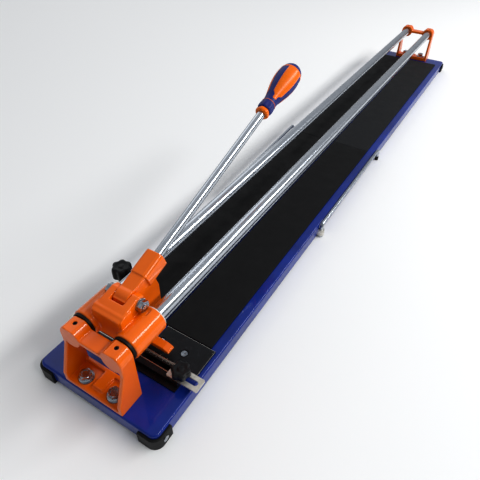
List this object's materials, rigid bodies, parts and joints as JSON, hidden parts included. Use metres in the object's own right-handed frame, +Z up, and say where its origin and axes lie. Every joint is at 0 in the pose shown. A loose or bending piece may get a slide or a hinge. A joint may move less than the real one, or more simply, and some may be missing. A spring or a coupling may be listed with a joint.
{
  "type": "tile cutter",
  "caption": "Manual rail tile cutter: long base with padded bed, two rails in cast end frames, sliding carriage with scoring and snapping lever, fence and fold-out side supports.",
  "frame": {"origin": "on the bench under the middle of the base", "axes": "+Z up, +Y along the rails from the parked end to the far end, +X to the right of someone at the parked end"},
  "size_m": [0.207, 1.3364, 0.2627],
  "materials": {
    "blue_enamel": "gloss baked enamel",
    "galvanised_steel": "zinc plated",
    "rubber_black": "moulded",
    "screw_steel": "bright zinc",
    "black_oxide": "black oxide",
    "pad_rubber": "fine matte",
    "pad_rubber_grey": "fine matte",
    "orange_enamel": "gloss powder enamel",
    "chrome": "hard chrome",
    "bush_bronze": "sintered bronze",
    "ring_nylon": "moulded nylon",
    "grip_orange": "moulded",
    "grip_blue": "soft-touch moulded",
    "carbide": "ground carbide",
    "anodised_black": "black anodised",
    "plated_plate": "zinc plated",
    "knob_plastic": "moulded glass-filled nylon"
  },
  "bodies": {
    "base": {"arm_lug_left": "blue_enamel", "arm_lug_right": "blue_enamel", "base_plate": "blue_enamel", "bracket_bolts": "galvanised_steel", "bracket_nuts": "galvanised_steel", "bracket_washers": "galvanised_steel", "breaker_bar": "galvanised_steel", "cap_screws": "screw_steel", "corner_cap_1": "rubber_black", "corner_cap_2": "rubber_black", "corner_cap_3": "rubber_black", "corner_cap_4": "rubber_black", "far_bracket": "orange_enamel", "fence_left": "anodised_black", "fence_right": "anodised_black", "fence_screws": "screw_steel", "mitre_pivot_screw": "screw_steel", "mitre_spacers": "screw_steel", "near_bracket": "orange_enamel", "pad_left_far": "pad_rubber", "pad_left_near": "pad_rubber", "pad_right_far": "pad_rubber_grey", "pad_right_near": "pad_rubber", "rail_left": "chrome", "rail_right": "chrome", "rail_set_screws": "black_oxide", "ruler_plate_left": "anodised_black", "ruler_plate_right": "anodised_black", "ruler_plate_screws": "screw_steel", "stiffening_channel": "galvanised_steel", "stop_tnut": "screw_steel"},
    "carriage": {"carriage_body": "orange_enamel", "slide_bushes": "bush_bronze", "wiper_seals": "rubber_black", "end_rings": "ring_nylon", "pivot_bolt": "screw_steel", "pivot_nut": "screw_steel", "pivot_washers": "screw_steel"},
    "lever": {"lever_casting": "orange_enamel", "lever_rod": "chrome", "rod_set_screw": "black_oxide", "grip_core": "grip_orange", "grip_collar": "grip_orange", "grip_sleeve": "grip_blue", "wheel_axle": "screw_steel", "foot_pin": "screw_steel"},
    "wheel": {"scoring_wheel": "carbide"},
    "foot": {"breaker_foot": "orange_enamel"},
    "stop_bar": {"stop_bar": "plated_plate"},
    "stop_clamp": {"stop_knob": "knob_plastic", "stop_stud": "screw_steel"},
    "mitre_plate": {"mitre_plate": "plated_plate"},
    "mitre_clamp": {"mitre_knob": "knob_plastic", "mitre_stud": "screw_steel"},
    "arm_left": {"support_arm_left": "chrome", "arm_retainer_left": "screw_steel", "arm_tip_left": "rubber_black"},
    "arm_right": {"support_arm_right": "chrome", "arm_retainer_right": "screw_steel", "arm_tip_right": "rubber_black"}
  },
  "joints": [
    {"name": "carriage_slide", "type": "slide", "parent": "base", "child": "carriage", "axis": [0, 1, 0], "range_m": [0, 1.135]},
    {"name": "lever_pivot", "type": "hinge", "parent": "carriage", "child": "lever", "pos_m": [0, -0.588, 0.121], "axis": [1, 0, 0], "range_deg": [-8, 40]},
    {"name": "wheel_spin", "type": "hinge", "parent": "lever", "child": "wheel", "pos_m": [0, -0.615, 0.048], "axis": [1, 0, 0], "continuous": true},
    {"name": "foot_rock", "type": "hinge", "parent": "lever", "child": "foot", "pos_m": [0, -0.575, 0.0505], "axis": [0, 1, 0], "range_deg": [-1.5, 1.5]},
    {"name": "stop_bar_slide", "type": "slide", "parent": "base", "child": "stop_bar", "axis": [1, 0, 0], "range_m": [-0.019, 0.002]},
    {"name": "stop_knob_turn", "type": "hinge", "parent": "base", "child": "stop_clamp", "pos_m": [0.072, -0.594, 0.044], "axis": [0, 0, 1], "continuous": true},
    {"name": "mitre_plate_swing", "type": "hinge", "parent": "base", "child": "mitre_plate", "pos_m": [-0.082, -0.595, 0.0284], "axis": [0, 0, 1], "range_deg": [-4, 4]},
    {"name": "mitre_knob_turn", "type": "hinge", "parent": "base", "child": "mitre_clamp", "pos_m": [-0.084, -0.518, 0.044], "axis": [0, 0, 1], "continuous": true},
    {"name": "arm_left_swing", "type": "hinge", "parent": "base", "child": "arm_left", "pos_m": [-0.0938, -0.238, 0.01], "axis": [0, 0, 1], "range_deg": [-2, 88]},
    {"name": "arm_right_swing", "type": "hinge", "parent": "base", "child": "arm_right", "pos_m": [0.0938, -0.238, 0.01], "axis": [0, 0, -1], "range_deg": [0, 90]}
  ]
}
